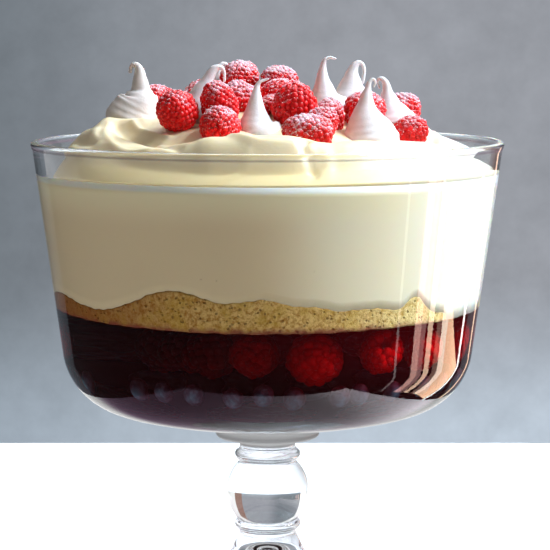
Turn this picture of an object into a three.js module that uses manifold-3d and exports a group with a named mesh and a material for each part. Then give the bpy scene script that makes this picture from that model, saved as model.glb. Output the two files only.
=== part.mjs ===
// A layered trifle in a footed glass bowl: fruit jelly, sponge, custard and whipped cream, topped
// with raspberries and meringue kisses. Millimetres, +Z up, the foot stands on z = 0 and the
// bowl's axis is the Z axis. -Y is the front.
import * as THREE from 'three';
import { mergeVertices } from 'three/addons/utils/BufferGeometryUtils.js';
import Module from 'manifold-3d';

const wasm = await Module();
wasm.setup();

// ---- Driving dimensions ----
const FACETS = 40; // flats round the bowl, its stem and the layers that fill it
const GAP = 0.3; // clearance between neighbouring solids

const RIM_RADIUS = 110.2;
const RIM_TOP = 225;
const RIM_BEAD = 2.2; // radius of the rounded rim
const WALL = 3.4; // glass thickness
const WALL_DRAFT = THREE.MathUtils.degToRad(7.8); // the wall leans outwards by this much
const WALL_TOP = { radius: 109.4, height: 222 };
const CORNER = { height: 126, radius: 31 }; // the wall turns into the bottom here
const BOWL_UNDERSIDE = 91.3; // height of the bowl's outside, on the axis
const BOWL_INSIDE = 96.4; // height of the bowl's inside, on the axis

const JELLY_TOP = 148;
const CUSTARD_TOP = 210;
const CREAM_BASE = CUSTARD_TOP + GAP;

const STEM = {
  boss: { radius: 24.4, height: 87.4 },
  neck: { radius: 13.1, height: 81.6 },
  upperRing: { radius: 15.5, height: 76.9, bead: 2.3 },
  waist: { radius: 13.8, height: 73.1 },
  ball: { radius: 19.5, height: 59.3 },
  lowerRing: { radius: 15.7, height: 43.6, bead: 2.2 },
  ankle: { radius: 13.6, height: 39.4 },
};
const FOOT = { radius: 59, rim: 5, flareTop: 39, flarePower: 3.1 };
const FOOT_HOLLOW = { radius: 54.5, top: 33, domeRadius: 12.5, domeBase: 21.5, flarePower: 2.2 };

// The sponge's wavy upper edge: its base thickness, and swells and dips along the glass, each by
// its bearing from the front (degrees, + to the right), its half width in degrees and its height.
const SPONGE = { base: 5, middle: 9.5, thinnest: 2, retreat: 3.2 };
const SPONGE_WAVES = [
  [-70, 14, 5], [-24, 15, 12.5], [0, 9, 8.5], [12, 5, 4], [22, 8, 3.5], [31, 6, 2.5], [41, 4, 7.5],
  [66, 12, -8], [100, 12, 6], [128, 9, 8], [150, 8, 4], [172, 13, 10], [-158, 9, 5], [-135, 12, 9],
  [-108, 10, 4],
];

// The cream: a mound whose edge falls more gently at the front, a dome in the middle and a dip at
// the front right.
const CREAM = {
  footRadius: 96.5, footShift: 2.5, footHeight: 1.5,
  height: 24.3, frontDrop: 5, edgePower: 9, frontEdgePower: 5.5,
  dome: { x: -2, y: 17, width: 34, height: 13 },
  dip: { x: 60, y: -35, width: 30, height: -8 },
};
// Spoon strokes: crests along an arc about a centre, from one bearing to another (degrees from +X),
// that rise over the inner width and fall over the outer one. A negative height is a crease.
const STROKES = [
  { x: -38, y: -28, radius: 40, from: 130, to: 268, height: 5.7, inner: 16, outer: 5 },
  { x: 20, y: -50, radius: 36, from: 176, to: 268, height: 5.4, inner: 15, outer: 5 },
  { x: 118, y: -84, radius: 100, from: 172, to: 189, height: -5.4, inner: 4, outer: 4 },
  { x: -40, y: -60, radius: 42, from: 280, to: 335, height: 4.1, inner: 10, outer: 4 },
  { x: 44, y: -24, radius: 46, from: 285, to: 385, height: 4.9, inner: 18, outer: 5 },
  { x: 26, y: 32, radius: 50, from: -12, to: 110, height: 5.7, inner: 18, outer: 5 },
  { x: -34, y: 34, radius: 46, from: 84, to: 205, height: 5.4, inner: 18, outer: 5 },
  { x: 4, y: 60, radius: 26, from: 10, to: 170, height: 4.6, inner: 12, outer: 4 },
];

// Meringue kisses: place of the base, its height, base radius, rise to the top of the tip, the
// lean of the spike, the reach and drop of the curl, the way the curl points (degrees from +X) and
// the radius of the tip as a share of the base's.
const MERINGUES = [
  { x: -63.8, y: 1.9, base: 233.6, radius: 12.6, rise: 28.2, lean: -4.6, reach: 6.4, drop: 4.2, turn: 178, tip: 0.09 },
  { x: -31.7, y: -20.4, base: 235.2, radius: 11.5, rise: 25.4, lean: 3.5, reach: 8.3, drop: 7.5, turn: 6, tip: 0.09 },
  { x: -3.7, y: -44.3, base: 230, radius: 10.6, rise: 25.6, lean: -3.2, reach: 7.4, drop: 0.2, turn: -6, tip: 0.07 },
  { x: 27.8, y: 1.7, base: 239.8, radius: 11.5, rise: 25.4, lean: -2.8, reach: 6.4, drop: 0.4, turn: 4, tip: 0.05 },
  { x: 39.1, y: 19.3, base: 237.6, radius: 11.8, rise: 25.2, lean: 1.0, reach: 7.2, drop: 6.4, turn: -4, tip: 0.08 },
  { x: 46.6, y: -30.5, base: 226, radius: 13.6, rise: 29.8, lean: 0.4, reach: 3.4, drop: 2, turn: 12, tip: 0.06 },
  { x: 58.2, y: 2.9, base: 233, radius: 11.8, rise: 22.6, lean: 1.6, reach: 6.0, drop: 4.2, turn: 176, tip: 0.08 },
  { x: -24.8, y: 30.8, base: 241.6, radius: 11.2, rise: 18.4, lean: 1.5, reach: 5, drop: 1.5, turn: 10, tip: 0.09 },
];
// How a kiss narrows from its foot to its tip: share of the way along, share of the narrowing left.
const KISS_PROFILE = [
  [0, 0.94], [0.05, 1], [0.12, 0.925], [0.2, 0.786], [0.28, 0.636], [0.36, 0.497], [0.45, 0.38],
  [0.55, 0.262], [0.65, 0.166], [0.75, 0.096], [0.85, 0.043], [0.95, 0.016], [1, 0],
];

// Raspberries: centre, radius, half length, lean of the tip from upright and the way it leans.
const RASPBERRIES = [
  { x: -40.7, y: -39.5, z: 240.9, radius: 9.5, half: 10.3, lean: 60, turn: 235 },
  { x: -21, y: -54.2, z: 234.6, radius: 9.4, half: 10.6, lean: 75, turn: 262 },
  { x: 17.9, y: -64.6, z: 232.1, radius: 8.8, half: 12.2, lean: 80, turn: 182 },
  { x: 66, y: -15.5, z: 230.0, radius: 8.0, half: 9.2, lean: 65, turn: 320 },
  { x: -21.7, y: -35.8, z: 243.8, radius: 8.6, half: 11.2, lean: 18, turn: 165 },
  { x: 11.8, y: -37, z: 242.7, radius: 10.2, half: 11.0, lean: 125, turn: 200 },
  { x: 24, y: -48.6, z: 235.4, radius: 7.6, half: 9.0, lean: 50, turn: 330 },
  { x: 27, y: -23.6, z: 236.0, radius: 8.4, half: 11.0, lean: 20, turn: 10 },
  { x: 45.2, y: -11.3, z: 239.8, radius: 9.2, half: 10.4, lean: 80, turn: 15 },
  { x: 63.4, y: 20.9, z: 237.7, radius: 9.0, half: 11.0, lean: 50, turn: 345 },
  { x: -52.2, y: 16, z: 242.6, radius: 8.6, half: 9.8, lean: 75, turn: 5 },
  { x: -31.5, y: 7.4, z: 244.1, radius: 9.0, half: 10.5, lean: 35, turn: 20 },
  { x: -12.2, y: -11.7, z: 244.7, radius: 8.6, half: 10.2, lean: 40, turn: 200 },
  { x: -13.1, y: 22.2, z: 254.0, radius: 8.4, half: 9.8, lean: 70, turn: 10 },
  { x: 5.6, y: 15.3, z: 252.2, radius: 8.0, half: 9.6, lean: 80, turn: 350 },
  { x: 5.4, y: 0.3, z: 246.6, radius: 8.0, half: 9.0, lean: 60, turn: 10 },
  { x: 2.6, y: -21.3, z: 239.8, radius: 8.0, half: 8.6, lean: 70, turn: 80 },
  { x: -45, y: 35.5, z: 238, radius: 8.8, half: 10.2, lean: 60, turn: 140 },
  { x: -32.4, y: 51, z: 240.5, radius: 9.0, half: 10.4, lean: 70, turn: 100 },
  { x: -6, y: 42.5, z: 243.5, radius: 9.0, half: 10.6, lean: 65, turn: 80 },
  { x: 14.5, y: 46, z: 241.0, radius: 8.8, half: 10.0, lean: 70, turn: 300 },
  { x: 46, y: 44, z: 239, radius: 9.0, half: 10.6, lean: 75, turn: 60 },
  { x: 62, y: 38.5, z: 234.5, radius: 8.8, half: 10.2, lean: 70, turn: 30 },
];
const RASPBERRY = { sides: 12, bands: 6, relief: 0.055, taper: 0.14 };
const MERINGUE = { sides: 8, rings: 8 };

// ---- Mesh helpers ----
const TURN = 2 * Math.PI;

// A closed, outward-facing geometry with shared vertices, from any indexed or loose geometry.
function closed(geometry) {
  const bare = geometry.clone();
  bare.deleteAttribute('normal');
  bare.deleteAttribute('uv');
  const merged = mergeVertices(bare, 1e-4);
  const place = merged.getAttribute('position');
  const corners = merged.getIndex().array;
  const kept = [];
  let volume = 0;
  const [a, b, c] = [new THREE.Vector3(), new THREE.Vector3(), new THREE.Vector3()];
  for (let i = 0; i < corners.length; i += 3) {
    const [p, q, r] = [corners[i], corners[i + 1], corners[i + 2]];
    if (p === q || q === r || r === p) continue;
    kept.push(p, q, r);
    a.fromBufferAttribute(place, p);
    b.fromBufferAttribute(place, q);
    c.fromBufferAttribute(place, r);
    volume += a.dot(b.cross(c));
  }
  if (volume < 0) {
    for (let i = 0; i < kept.length; i += 3) [kept[i], kept[i + 1]] = [kept[i + 1], kept[i]];
  }
  merged.setIndex(kept);
  return merged;
}

function toSolid(geometry) {
  const whole = closed(geometry);
  return new wasm.Manifold(new wasm.Mesh({
    numProp: 3,
    vertProperties: new Float32Array(whole.getAttribute('position').array),
    triVerts: new Uint32Array(whole.getIndex().array),
  }));
}

// The largest body of a solid, as a geometry: scraps that a cut leaves are dropped.
function toGeometry(solid) {
  const bodies = solid.decompose().sort((one, other) => other.volume() - one.volume());
  const mesh = bodies[0].getMesh();
  const geometry = new THREE.BufferGeometry();
  geometry.setAttribute('position', new THREE.BufferAttribute(new Float32Array(mesh.vertProperties), 3));
  geometry.setIndex(Array.from(mesh.triVerts));
  return geometry;
}

function arc(x, y, radius, fromDegrees, toDegrees, steps) {
  const points = [];
  for (let i = 0; i <= steps; i += 1) {
    const angle = THREE.MathUtils.degToRad(fromDegrees + ((toDegrees - fromDegrees) * i) / steps);
    points.push(new THREE.Vector2(x + radius * Math.cos(angle), y + radius * Math.sin(angle)));
  }
  return points;
}

const point = (radius, height) => new THREE.Vector2(radius, height);

// Turns an outline of (radius, height) points round the Z axis.
const turned = (outline) => new THREE.LatheGeometry(outline, FACETS).rotateX(Math.PI / 2);

// A body of closed rings stacked from one end point to the other. ringAt(i) gives ring i's points.
function stackedRings(count, sides, ringAt, firstEnd, lastEnd) {
  const places = [firstEnd];
  for (let i = 0; i < count; i += 1) places.push(...ringAt(i));
  places.push(lastEnd);
  const last = places.length - 1;
  const index = [];
  const at = (ring, side) => 1 + ring * sides + (side % sides);
  for (let side = 0; side < sides; side += 1) {
    index.push(0, at(0, side + 1), at(0, side));
    for (let ring = 0; ring < count - 1; ring += 1) {
      index.push(at(ring, side), at(ring, side + 1), at(ring + 1, side + 1));
      index.push(at(ring, side), at(ring + 1, side + 1), at(ring + 1, side));
    }
    index.push(last, at(count - 1, side), at(count - 1, side + 1));
  }
  const geometry = new THREE.BufferGeometry().setFromPoints(places);
  geometry.setIndex(index);
  return closed(geometry);
}

// ---- Glass bowl ----
const wallRadius = (height) => WALL_TOP.radius - (WALL_TOP.height - height) * Math.tan(WALL_DRAFT);
const cornerCentre = point(
  wallRadius(CORNER.height) - CORNER.radius * Math.cos(WALL_DRAFT),
  CORNER.height + CORNER.radius * Math.sin(WALL_DRAFT),
);
const insetRadius = (height, inset) => wallRadius(height) - inset / Math.cos(WALL_DRAFT);

// The bowl's outline below a height, set in from its outer face, down to a point on the axis:
// wall, rounded corner, and the shallow arc that meets the corner smoothly.
function bowlOutline(fromHeight, inset, bottom) {
  const corner = CORNER.radius - inset;
  const rise = cornerCentre.y - bottom;
  const bottomRadius = (cornerCentre.x ** 2 + rise ** 2 - corner ** 2) / (2 * (rise - corner));
  const bottomCentre = bottom + bottomRadius;
  const meeting = THREE.MathUtils.radToDeg(Math.atan2(cornerCentre.y - bottomCentre, cornerCentre.x));
  const wallEnd = -THREE.MathUtils.radToDeg(WALL_DRAFT);
  return [
    point(insetRadius(fromHeight, inset), fromHeight),
    ...arc(cornerCentre.x, cornerCentre.y, corner, wallEnd, meeting, 4),
    ...arc(0, bottomCentre, bottomRadius, meeting, -90, 3).slice(1),
  ];
}

function footOutline() {
  const flare = (radius) => {
    const share = (FOOT.radius - 1 - radius) / (FOOT.radius - 1 - STEM.ankle.radius);
    return FOOT.rim + (FOOT.flareTop - FOOT.rim) * share ** FOOT.flarePower;
  };
  const hollowFlare = (radius) => {
    const share = (FOOT_HOLLOW.radius - radius) / (FOOT_HOLLOW.radius - FOOT_HOLLOW.domeRadius);
    return FOOT_HOLLOW.domeBase * share ** FOOT_HOLLOW.flarePower;
  };
  const dome = [0, 45, 90].map((degrees) => {
    const angle = THREE.MathUtils.degToRad(degrees);
    const rise = FOOT_HOLLOW.top - FOOT_HOLLOW.domeBase;
    return point(FOOT_HOLLOW.domeRadius * Math.sin(angle), FOOT_HOLLOW.domeBase + rise * Math.cos(angle));
  });
  return [
    ...dome,
    ...[19, 32].map((radius) => point(radius, hollowFlare(radius))),
    point(FOOT_HOLLOW.radius, 0),
    point(FOOT.radius - 0.8, 0),
    point(FOOT.radius, 1.2),
    point(FOOT.radius, FOOT.rim - 1.2),
    point(FOOT.radius - 1.4, FOOT.rim),
    ...[42, 29, 20.5, 16].map((radius) => point(radius, flare(radius))),
  ];
}

function stemOutline() {
  const { boss, neck, upperRing, waist, ball, lowerRing, ankle } = STEM;
  const ring = ({ radius, height, bead }) => arc(radius - bead, height, bead, -75, 75, 3);
  const ballEdge = THREE.MathUtils.radToDeg(Math.acos(waist.radius / ball.radius));
  return [
    point(ankle.radius, ankle.height),
    ...ring(lowerRing),
    ...arc(0, ball.height, ball.radius, -ballEdge, ballEdge, 5),
    ...ring(upperRing),
    point(neck.radius, neck.height),
    point(boss.radius - 1.6, boss.height - 1.6),
    point(boss.radius, boss.height),
    point(boss.radius + 1, BOWL_UNDERSIDE + 0.6),
  ];
}

function glassBowl() {
  const beadHeight = RIM_TOP - RIM_BEAD;
  const outer = bowlOutline(WALL_TOP.height - 1, 0, BOWL_UNDERSIDE).slice(0, -1).reverse();
  const inner = bowlOutline(WALL_TOP.height - 2, WALL, BOWL_INSIDE);
  return turned([
    ...footOutline(),
    ...stemOutline(),
    ...outer,
    ...arc(RIM_RADIUS - RIM_BEAD, beadHeight, RIM_BEAD, 0, 180, 4),
    ...inner,
  ]);
}

// ---- Layers ----
// The radius of the many-sided inside of the bowl at a bearing (radians from +X).
function facetRadius(radius, bearing) {
  const half = Math.PI / FACETS;
  const within = ((bearing % (2 * half)) + 2 * half) % (2 * half);
  return (radius * Math.cos(half)) / Math.cos(within - half);
}

function jelly() {
  return turned([point(0, JELLY_TOP), ...bowlOutline(JELLY_TOP, WALL + GAP, BOWL_INSIDE + GAP)]);
}

// How thick the sponge is against the glass at a bearing in degrees from the front.
function spongeThickness(bearing) {
  const swell = ([middle, width, height]) => {
    const away = ((bearing - middle + 540) % 360) - 180;
    return height * Math.exp(-((away / width) ** 2));
  };
  return SPONGE_WAVES.reduce((sum, wave) => sum + swell(wave), SPONGE.base);
}

// The sponge layer, or with a clearance round it the space it takes out of the custard. Its rings
// are the bottom edge, the top edge, the top edge again without clearance, and two further in.
function sponge(clearance = 0) {
  const sides = 2 * FACETS;
  const floor = JELLY_TOP + GAP;
  const bottom = floor - 4 * clearance;
  const shares = [1, 1, 1, 0.8, 0.45];
  const edges = Array.from({ length: sides }, (_, side) => {
    const angle = (side / sides) * TURN;
    const thickness = spongeThickness(THREE.MathUtils.radToDeg(angle) + 90);
    const retreat = SPONGE.retreat * Math.max(0, SPONGE.thinnest - thickness);
    const radius = facetRadius(insetRadius(floor, WALL + GAP), angle) - retreat;
    const outside = radius + (retreat > 0 ? clearance : 8 * clearance);
    return { angle, radius, outside, height: Math.max(SPONGE.thinnest, thickness) };
  });
  const ringAt = (ring) => edges.map(({ angle, radius, outside, height }) => {
    const reach = ring < 2 ? outside : radius * shares[ring];
    const rise = SPONGE.middle + (height - SPONGE.middle) * shares[ring] ** 3;
    const level = ring === 0 ? bottom : floor + rise + clearance;
    return new THREE.Vector3(reach * Math.cos(angle), reach * Math.sin(angle), level);
  });
  const top = new THREE.Vector3(0, 0, floor + SPONGE.middle + clearance);
  return stackedRings(shares.length, sides, ringAt, new THREE.Vector3(0, 0, bottom), top);
}

function custard() {
  const floor = JELLY_TOP + GAP;
  const inset = WALL + GAP;
  const block = turned([
    point(0, floor),
    point(insetRadius(floor, inset), floor),
    point(insetRadius(CUSTARD_TOP, inset), CUSTARD_TOP),
    point(0, CUSTARD_TOP),
  ]);
  return toGeometry(toSolid(block).subtract(toSolid(sponge(GAP))));
}

// ---- Whipped cream ----
// How far the spoon strokes raise the cream at a place, and hollow it inside each crest.
function strokeRelief(x, y) {
  let relief = 0;
  for (const { x: middleX, y: middleY, radius, from, to, height, inner, outer } of STROKES) {
    const [dx, dy] = [x - middleX, y - middleY];
    const outside = Math.hypot(dx, dy) - radius;
    const bearing = THREE.MathUtils.radToDeg(Math.atan2(dy, dx));
    const along = ((((bearing - from) % 360) + 360) % 360) / (to - from);
    if (along >= 1) continue;
    const crest = outside > 0
      ? Math.exp(-((outside / outer) ** 2))
      : Math.max(0, 1 + outside / inner) ** 1.8;
    const hollow = 0.4 * Math.exp(-(((outside + inner) / (0.6 * inner)) ** 2));
    relief += height * Math.sin(Math.PI * along) ** 0.6 * (crest - hollow);
  }
  return relief;
}

const creamFoot = (bearing) => CREAM.footRadius + CREAM.footShift * Math.cos(bearing);

function swell(x, y, form) {
  return form.height * Math.exp(-((x - form.x) ** 2 + (y - form.y) ** 2) / form.width ** 2);
}

function creamHeight(x, y) {
  const radius = Math.hypot(x, y);
  const bearing = Math.atan2(y, x);
  const front = Math.max(0, -Math.sin(bearing)) ** 2;
  const share = Math.min(1, radius / creamFoot(bearing));
  const power = CREAM.edgePower + (CREAM.frontEdgePower - CREAM.edgePower) * front;
  const height = CREAM.height - CREAM.frontDrop * front * Math.min(1, (share / 0.55) ** 2);
  const mound = height * (1 - share ** power);
  const relief = swell(x, y, CREAM.dip) + strokeRelief(x, y);
  const fade = Math.min(1, 6 * (1 - share));
  return CREAM_BASE + CREAM.footHeight + mound + swell(x, y, CREAM.dome) + relief * fade;
}

function whippedCream() {
  const sides = 44;
  const shares = [1, 1, 0.965, 0.93, 0.89, 0.845, 0.79, 0.73, 0.66, 0.58, 0.49, 0.39, 0.27, 0.14];
  const ringAt = (ring) => Array.from({ length: sides }, (_, side) => {
    const bearing = (side / sides) * TURN;
    const radius = shares[ring] * creamFoot(bearing);
    const [x, y] = [radius * Math.cos(bearing), radius * Math.sin(bearing)];
    return new THREE.Vector3(x, y, ring === 0 ? CREAM_BASE : creamHeight(x, y));
  });
  const bottom = new THREE.Vector3(0, 0, CREAM_BASE);
  const top = new THREE.Vector3(0, 0, creamHeight(0, 0));
  return stackedRings(shares.length, sides, ringAt, bottom, top);
}

// ---- Toppings ----
// A raspberry of rounded bumps in staggered rows, fuller towards the stalk end.
function raspberry({ x, y, z, radius, half, lean, turn }) {
  const { sides, bands, relief, taper } = RASPBERRY;
  const ringAt = (ring) => {
    const polar = (Math.PI * (ring + 1)) / (bands + 1);
    return Array.from({ length: sides }, (_, side) => {
      const bump = 1 + ((ring + side) % 2 === 0 ? relief : -relief);
      const reach = radius * Math.sin(polar) ** 0.85 * (1 + taper * Math.cos(polar)) * bump;
      const angle = (side / sides) * TURN;
      const along = -half * Math.cos(polar) * bump;
      return new THREE.Vector3(reach * Math.cos(angle), reach * Math.sin(angle), along);
    });
  };
  const ends = [new THREE.Vector3(0, 0, -0.9 * half), new THREE.Vector3(0, 0, half)];
  const berry = stackedRings(bands, sides, ringAt, ...ends);
  const [tilt, heading] = [lean, turn].map(THREE.MathUtils.degToRad);
  return berry.rotateY(tilt).rotateZ(heading).translate(x, y, z);
}

// The kiss profile's value at a share of the way along.
function alongProfile(share) {
  const next = Math.max(1, KISS_PROFILE.findIndex(([at]) => at >= share));
  const [[before, from], [after, to]] = [KISS_PROFILE[next - 1], KISS_PROFILE[next]];
  return THREE.MathUtils.mapLinear(share, before, after, from, to);
}

// A meringue kiss: a round foot that narrows along a bending spike to a curled tip.
function meringue({ x, y, base, radius, rise, lean, reach, drop, turn, tip }) {
  const heading = THREE.MathUtils.degToRad(turn);
  const bend = (across, up) => new THREE.Vector3(
    x + across * Math.cos(heading), y + across * Math.sin(heading), base + up,
  );
  const spine = new THREE.CatmullRomCurve3([
    bend(0, -1),
    bend(lean * 0.3, rise * 0.34),
    bend(lean, rise * 0.76),
    bend(lean + reach * 0.42, rise - 0.8),
    bend(lean + reach, rise - 0.8 - drop),
  ]);
  const girth = (share) => radius * (tip + (1 - tip) * alongProfile(share));
  const { sides, rings } = MERINGUE;
  const shares = Array.from({ length: rings }, (_, ring) => (ring / (rings - 1)) ** 1.1);
  const across = new THREE.Vector3(-Math.sin(heading), Math.cos(heading), 0);
  const ringAt = (ring) => {
    const centre = spine.getPointAt(shares[ring]);
    const along = spine.getTangentAt(shares[ring]);
    const side = new THREE.Vector3().crossVectors(across, along).normalize();
    return Array.from({ length: sides }, (_, step) => {
      const angle = (step / sides) * TURN;
      return centre.clone()
        .addScaledVector(side, girth(shares[ring]) * Math.cos(angle))
        .addScaledVector(across, girth(shares[ring]) * Math.sin(angle));
    });
  };
  const end = spine.getPointAt(1).addScaledVector(spine.getTangentAt(1), 0.7);
  return stackedRings(rings, sides, ringAt, spine.getPointAt(0), end);
}

// A topping grown about its middle, as the room its neighbours leave it.
function grown(geometry, clearance) {
  const copy = geometry.clone();
  copy.computeBoundingBox();
  const middle = copy.boundingBox.getCenter(new THREE.Vector3());
  const size = copy.boundingBox.getSize(new THREE.Vector3());
  copy.translate(-middle.x, -middle.y, -middle.z);
  const grow = [size.x, size.y, size.z].map((length) => 1 + (2 * clearance) / length);
  copy.scale(...grow);
  return toSolid(copy.translate(middle.x, middle.y, middle.z));
}

// ---- Assembly ----
const MATERIALS = {
  glass: new THREE.MeshStandardMaterial({ color: 0xd8e4e6, roughness: 0.05, metalness: 0 }),
  jelly: new THREE.MeshStandardMaterial({ color: 0x4a0614, roughness: 0.15, metalness: 0 }),
  sponge: new THREE.MeshStandardMaterial({ color: 0xc49a55, roughness: 0.9, metalness: 0 }),
  custard: new THREE.MeshStandardMaterial({ color: 0xe9dcb4, roughness: 0.4, metalness: 0 }),
  cream: new THREE.MeshStandardMaterial({ color: 0xf6efd8, roughness: 0.45, metalness: 0 }),
  meringue: new THREE.MeshStandardMaterial({ color: 0xfaf6f2, roughness: 0.5, metalness: 0 }),
  raspberry: new THREE.MeshStandardMaterial({ color: 0xb3122a, roughness: 0.5, metalness: 0 }),
};

const trifle = new THREE.Group();

function addPiece(name, geometry, material) {
  const mesh = new THREE.Mesh(geometry, material);
  mesh.name = name;
  trifle.add(mesh);
}

addPiece('glass_bowl', closed(glassBowl()), MATERIALS.glass);
addPiece('jelly', closed(jelly()), MATERIALS.jelly);
addPiece('sponge', sponge(), MATERIALS.sponge);
addPiece('custard', custard(), MATERIALS.custard);
const creamForm = whippedCream();
addPiece('whipped_cream', creamForm, MATERIALS.cream);

// Each topping is pressed into the cream and gives way to the toppings set before it.
const creamRoom = toSolid(creamForm.clone().translate(0, 0, GAP));
const taken = [];
function addTopping(name, geometry, material) {
  geometry.computeBoundingBox();
  let solid = toSolid(geometry).subtract(creamRoom);
  for (const { box, room } of taken) {
    if (box.intersectsBox(geometry.boundingBox)) solid = solid.subtract(room);
  }
  taken.push({ box: geometry.boundingBox.clone().expandByScalar(GAP), room: grown(geometry, GAP) });
  addPiece(name, toGeometry(solid), material);
}

const numbered = (name, i) => `${name}_${String(i + 1).padStart(2, '0')}`;
MERINGUES.forEach((kiss, i) => addTopping(numbered('meringue', i), meringue(kiss), MATERIALS.meringue));
RASPBERRIES.forEach((fruit, i) => {
  addTopping(numbered('raspberry', i), raspberry(fruit), MATERIALS.raspberry);
});

export default trifle;
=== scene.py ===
import math
import random

import bpy
import numpy as np
from mathutils import Matrix, Vector


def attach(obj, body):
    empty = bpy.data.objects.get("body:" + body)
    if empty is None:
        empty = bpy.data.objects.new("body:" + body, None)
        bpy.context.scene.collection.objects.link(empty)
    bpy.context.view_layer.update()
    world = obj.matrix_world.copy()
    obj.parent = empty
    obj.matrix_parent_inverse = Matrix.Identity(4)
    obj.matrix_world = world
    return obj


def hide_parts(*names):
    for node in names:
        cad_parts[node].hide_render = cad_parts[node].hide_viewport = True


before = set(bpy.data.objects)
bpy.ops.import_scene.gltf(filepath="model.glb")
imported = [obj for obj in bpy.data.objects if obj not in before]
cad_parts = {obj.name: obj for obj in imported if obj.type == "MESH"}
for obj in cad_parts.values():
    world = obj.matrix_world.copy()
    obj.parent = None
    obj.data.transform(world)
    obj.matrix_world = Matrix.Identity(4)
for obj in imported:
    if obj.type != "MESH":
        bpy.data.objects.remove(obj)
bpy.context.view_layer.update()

MM = 0.001
TURN = 2 * math.pi
GOLDEN_ANGLE = TURN * (1 - 2 / (1 + math.sqrt(5)))

# ---- The bowl, in millimetres ----
# How many sides each turned piece has.
BOWL_SIDES = 192
JELLY_SIDES = 360
SPONGE_SIDES = 960
CUSTARD_SIDES = 480
CREAM_SIDES = 420
KISS_SIDES = 56
BERRY_SIDES = 24
BLUEBERRY_SIDES = 18
RIM = {"radius": 110.2, "top": 225.5, "bead": 1.9}
WALL = 3.4
WALL_DRAFT = math.radians(7.8)
LEAN = math.tan(WALL_DRAFT)
WALL_TOP = {"radius": 109.4, "height": 222}
CORNER = {"height": 126, "radius": 31}
BOWL_UNDERSIDE = 91.3
BOWL_INSIDE = 96.4
# The stem's parts, each with its radius, height and bead, and the waist's radius.
STEM = {
    "neck": (13.1, 81.6), "upper ring": (15.5, 76.9, 2.3), "waist": 13.8, "ball": (19.5, 59.3),
    "lower ring": (15.7, 43.6, 2.2), "ankle": (13.6, 39.4),
}
FLANGE = {
    "underside": [(18.2, 84.2), (21.8, 85.3)], "edge": (23, 86.8, 1.4), "top": (25.2, 89.6),
    "reach": 27,
}
FOOT = {
    "radius": 59, "rim": 5, "flare top": 39, "flare reach": 15.2, "power": 3.1,
    "edge beads": (1.2, 1.4),
}
HOLLOW = {
    "radius": 54.5, "top": 33, "dome radius": 12.5, "dome base": 21.5, "power": 2.2,
    "slope": (13.2, 53.5),
}

# ---- The layers ----
JELLY_TOP = 148
CUSTARD_TOP = 211.4
LEVEL_RISE = 1.6  # how much higher the jelly stands at the left and right than in front
SUNK = 0.4  # how far each filling reaches into the wall of the glass
LAP = 0.3  # how far the custard reaches into what is under it
DIP = 0.25  # how far the custard's top lies below its edge

SPONGE = {"base": 5, "middle": 9.5, "thinnest": 2, "retreat": 3.2, "crust": 1.1, "sink": 0.25}
SPONGE_BASE = JELLY_TOP + 0.3
SPONGE_MIDDLE = SPONGE_BASE + SPONGE["middle"]
# Swells and dips of the sponge's edge: bearing from the front, half width in degrees, height.
SPONGE_WAVES = [
    (-70, 14, 5), (-24, 15, 12.5), (0, 9, 8.5), (12, 5, 4), (22, 8, 3.5), (31, 6, 2.5),
    (41, 4, 7.5), (66, 12, -8), (100, 12, 6), (128, 9, 8), (150, 8, 4), (172, 13, 10),
    (-158, 9, 5), (-135, 12, 9), (-108, 10, 4),
]

# ---- The cream ----
CREAM = {
    "foot radius": 95.5, "foot swell": 9.6, "foot height": 0.6, "foot lift": 3.2, "base": 211.7,
    "height": 23.3, "shoulder drop": 1.8, "front drop": 8.5, "edge power": 7, "edge sway": 2.6,
    "sink": 0.6,
}
SWELLS = [(-2, 17, 34, 13), (60, -35, 30, -8)]  # x, y, width, height
# Spoon strokes: centre, radius, from and to bearing from +X, height, inner and outer width.
STROKES = [
    (-38, -28, 40, 130, 268, 2.4, 16, 5),
    (20, -50, 36, 176, 268, 2.6, 15, 5),
    (44, -24, 46, 285, 385, 3.2, 18, 5),
    (26, 32, 50, -12, 110, 5.7, 18, 5),
    (-34, 34, 46, 84, 196, 3.2, 18, 5),
    (4, 60, 26, 10, 170, 4.6, 12, 4),
]

# The lip at the front: where it runs, how wide it is, and its x and height along the way.
LIP = {"radius": 86, "inner": 15, "outer": 10, "melt": 0.8}
LIP_LINE = [
    (-69.9, 223.3), (-62.7, 223.4), (-55.6, 224.9), (-46.5, 226.8), (-37.6, 228), (-32.1, 229),
    (-27.9, 230.7), (-24, 231.4), (-18.8, 231.4), (-13.2, 231.6), (-6.8, 232.1), (3.5, 232.2),
    (9.1, 232.1), (12.9, 231.5), (17.7, 230.5), (22, 229.2), (28.5, 228.5), (33.7, 229.3),
    (40.8, 229.6), (49.2, 228.7), (58.8, 227.1), (71.2, 225.9),
]
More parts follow.
